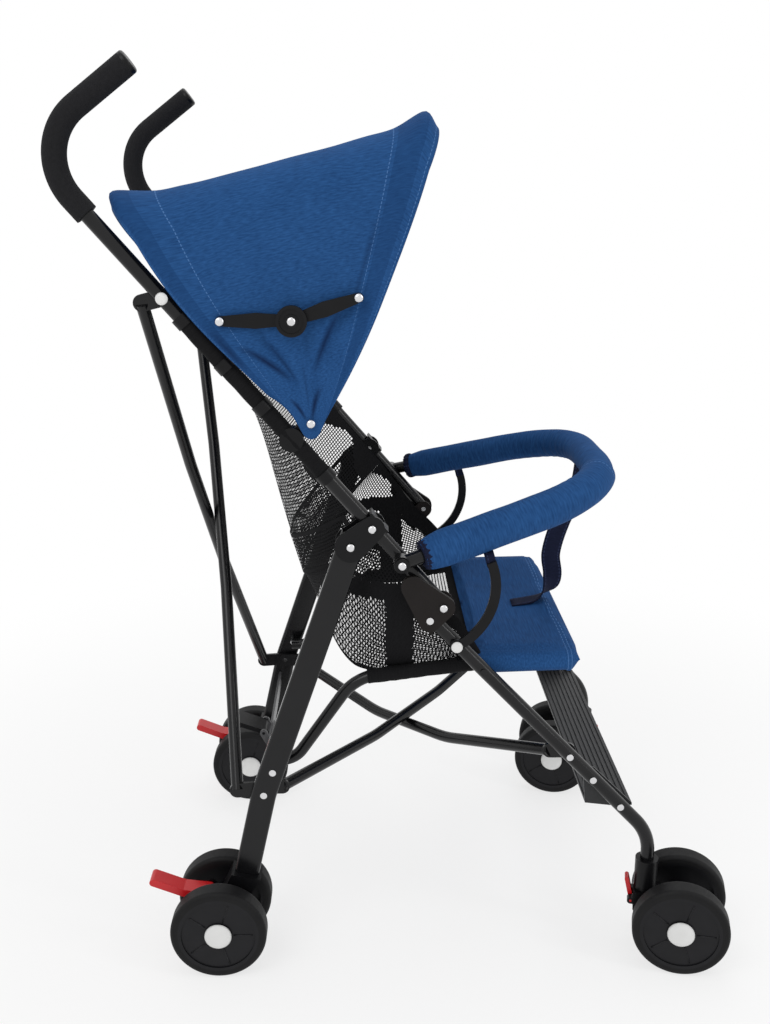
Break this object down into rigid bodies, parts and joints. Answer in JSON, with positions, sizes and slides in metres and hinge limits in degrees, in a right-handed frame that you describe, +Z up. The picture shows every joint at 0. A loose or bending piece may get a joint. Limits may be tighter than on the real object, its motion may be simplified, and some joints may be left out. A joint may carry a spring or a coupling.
{
  "type": "folding umbrella stroller",
  "caption": "Folding umbrella stroller with curved foam handles, folding hood, sling seat, padded bumper bar, crossed frame tubes and twin swivel and braked wheels.",
  "frame": {"origin": "on the floor under the middle of the bounding box, midway between the two sides", "axes": "+X forward, +Y to the stroller's left, +Z up"},
  "size_m": [0.7576, 0.5376, 1.0165],
  "materials": {
    "black_tube": "gloss",
    "foam": "matte foam",
    "black_plastic": "satin",
    "steel": "satin",
    "red_plastic": "gloss",
    "tyre": "matte",
    "blue_cloth": "woven",
    "black_mesh": "open mesh"
  },
  "bodies": {
    "frame": {"main_tube_right": "black_tube", "main_tube_left": "black_tube", "handle_grip_right": "foam", "handle_grip_left": "foam", "handle_end_caps": "black_plastic", "rear_leg_brackets": "black_plastic", "frame_rivets": "steel", "bumper_pins": "black_plastic", "hood_clips": "black_plastic", "hood_rear_bow": "steel", "hood_canopy": "blue_cloth", "cloth_clips": "black_plastic", "seat_back": "black_mesh", "seat_sides": "black_mesh"},
    "rear_legs": {"rear_leg_right": "black_tube", "rear_leg_left": "black_tube", "rear_forks": "black_plastic", "rear_leg_rivets": "steel", "lock_brace_bars": "steel", "lock_brace_pin": "steel"},
    "lock_pedal": {"lock_pedal": "black_plastic"},
    "front_legs": {"front_leg_right": "black_tube", "front_leg_left": "black_tube", "knuckles": "black_plastic", "footrest": "black_plastic", "front_leg_rivets": "steel", "caster_sockets": "black_plastic"},
    "rear_cross": {"rear_cross_tube_right": "black_tube", "rear_cross_tube_left": "black_tube"},
    "under_cross": {"under_cross_tube_right": "black_tube", "under_cross_tube_left": "black_tube"},
    "seat_rails": {"seat_rail_right": "black_tube", "seat_rail_left": "black_tube", "seat_base": "black_mesh", "seat_flap": "blue_cloth"},
    "bumper": {"bumper_tube": "black_tube", "bumper_pad": "blue_cloth"},
    "bumper_arcs": {"bumper_arcs": "black_plastic"},
    "hood_front": {"hood_front_bow": "steel"},
    "hood_stay_rear": {"hood_stay_rear_arms": "black_plastic"},
    "hood_stay_front": {"hood_stay_front_arms": "black_plastic", "hood_stay_knobs": "black_plastic"},
    "caster_right": {"caster_fork_right": "black_plastic"},
    "swivel_lock_right": {"swivel_lock_right": "red_plastic"},
    "front_wheels_right": {"front_hubs_right": "black_plastic", "front_tyres_right": "tyre", "front_axle_right": "steel"},
    "rear_wheels_right": {"rear_hubs_right": "black_plastic", "rear_tyres_right": "tyre", "rear_axle_right": "steel"},
    "brake_right": {"brake_lever_right": "red_plastic"},
    "caster_left": {"caster_fork_left": "black_plastic"},
    "swivel_lock_left": {"swivel_lock_left": "red_plastic"},
    "front_wheels_left": {"front_hubs_left": "black_plastic", "front_tyres_left": "tyre", "front_axle_left": "steel"},
    "rear_wheels_left": {"rear_hubs_left": "black_plastic", "rear_tyres_left": "tyre", "rear_axle_left": "steel"},
    "brake_left": {"brake_lever_left": "red_plastic"}
  },
  "joints": [
    {"name": "fold", "type": "hinge", "parent": "frame", "child": "rear_legs", "pos_m": [-0.07686, 0, 0.51523], "axis": [0, -1, 0], "range_deg": [0, 29.5], "deforming": ["seat_back", "seat_sides"]},
    {"name": "fold_front_legs", "type": "hinge", "parent": "frame", "child": "front_legs", "pos_m": [0.02474, 0, 0.44561], "axis": [0, -1, 0], "range_deg": [0, 72.39]},
    {"name": "fold_rear_cross", "type": "hinge", "parent": "frame", "child": "rear_cross", "pos_m": [-0.26655, 0, 0.7807], "axis": [0, -1, 0], "range_deg": [0, 15.04]},
    {"name": "fold_under_cross", "type": "hinge", "parent": "front_legs", "child": "under_cross", "pos_m": [0.17339, 0, 0.25921], "axis": [0, -1, 0], "range_deg": [-28.87, 0]},
    {"name": "fold_seat_rails", "type": "hinge", "parent": "front_legs", "child": "seat_rails", "pos_m": [0.07153, 0, 0.36617], "axis": [0, -1, 0], "range_deg": [-40.16, 0]},
    {"name": "fold_bumper", "type": "hinge", "parent": "frame", "child": "bumper", "pos_m": [-0.02138, 0, 0.49867], "axis": [0, -1, 0], "range_deg": [0, 32.75]},
    {"name": "fold_bumper_arcs", "type": "hinge", "parent": "front_legs", "child": "bumper_arcs", "pos_m": [0.04022, 0, 0.39904], "axis": [0, -1, 0], "range_deg": [-45.74, 0]},
    {"name": "lock_pedal_tilt", "type": "hinge", "parent": "rear_legs", "child": "lock_pedal", "pos_m": [-0.19571, 0, 0.198], "axis": [0, -1, 0], "range_deg": [0, 25]},
    {"name": "hood_close", "type": "hinge", "parent": "frame", "child": "hood_front", "pos_m": [-0.11714, 0, 0.65181], "axis": [0, -1, 0], "range_deg": [0, 48], "deforming": ["hood_canopy"]},
    {"name": "hood_stay_rear_turn", "type": "hinge", "parent": "frame", "child": "hood_stay_rear", "pos_m": [-0.20788, 0, 0.75842], "axis": [0, -1, 0], "range_deg": [-42.24, 0]},
    {"name": "hood_stay_front_turn", "type": "hinge", "parent": "hood_front", "child": "hood_stay_front", "pos_m": [-0.06628, 0, 0.78224], "axis": [0, -1, 0], "range_deg": [0, 46.48]},
    {"name": "caster_right_swivel", "type": "hinge", "parent": "front_legs", "child": "caster_right", "pos_m": [0.27332, -0.2, 0.0815], "axis": [0, 0, 1], "continuous": true},
    {"name": "front_wheels_right_spin", "type": "hinge", "parent": "caster_right", "child": "front_wheels_right", "pos_m": [0.31424, -0.20945, 0.056], "axis": [0.225, 0.9744, 0], "continuous": true},
    {"name": "swivel_lock_right_tilt", "type": "hinge", "parent": "caster_right", "child": "swivel_lock_right", "pos_m": [0.25724, -0.19629, 0.0695], "axis": [-0.225, -0.9744, 0], "range_deg": [0, 18]},
    {"name": "rear_wheels_right_spin", "type": "hinge", "parent": "rear_legs", "child": "rear_wheels_right", "pos_m": [-0.23385, -0.2, 0.056], "axis": [0, 1, 0], "continuous": true},
    {"name": "brake_right_press", "type": "hinge", "parent": "rear_legs", "child": "brake_right", "pos_m": [-0.24885, -0.2, 0.084], "axis": [0, -1, 0], "range_deg": [0, 20]},
    {"name": "caster_left_swivel", "type": "hinge", "parent": "front_legs", "child": "caster_left", "pos_m": [0.27332, 0.2, 0.0815], "axis": [0, 0, 1], "continuous": true},
    {"name": "front_wheels_left_spin", "type": "hinge", "parent": "caster_left", "child": "front_wheels_left", "pos_m": [0.23239, 0.20945, 0.056], "axis": [-0.225, -0.9744, 0], "continuous": true},
    {"name": "swivel_lock_left_tilt", "type": "hinge", "parent": "caster_left", "child": "swivel_lock_left", "pos_m": [0.28939, 0.19629, 0.0695], "axis": [0.225, 0.9744, 0], "range_deg": [0, 18]},
    {"name": "rear_wheels_left_spin", "type": "hinge", "parent": "rear_legs", "child": "rear_wheels_left", "pos_m": [-0.23385, 0.2, 0.056], "axis": [0, 1, 0], "continuous": true},
    {"name": "brake_left_press", "type": "hinge", "parent": "rear_legs", "child": "brake_left", "pos_m": [-0.24885, 0.2, 0.084], "axis": [0, -1, 0], "range_deg": [0, 20]}
  ],
  "couplings": [
    {"joint": "fold_front_legs", "follows": "fold", "ratio": 2.437},
    {"joint": "fold_rear_cross", "follows": "fold", "ratio": 0.493},
    {"joint": "fold_under_cross", "follows": "fold", "ratio": -0.96179},
    {"joint": "fold_seat_rails", "follows": "fold", "ratio": -1.3445},
    {"joint": "fold_bumper", "follows": "fold", "ratio": 1.0932},
    {"joint": "fold_bumper_arcs", "follows": "fold", "ratio": -1.5335},
    {"joint": "hood_stay_rear_turn", "follows": "hood_close", "ratio": -0.86967},
    {"joint": "hood_stay_front_turn", "follows": "hood_close", "ratio": 0.95787}
  ]
}
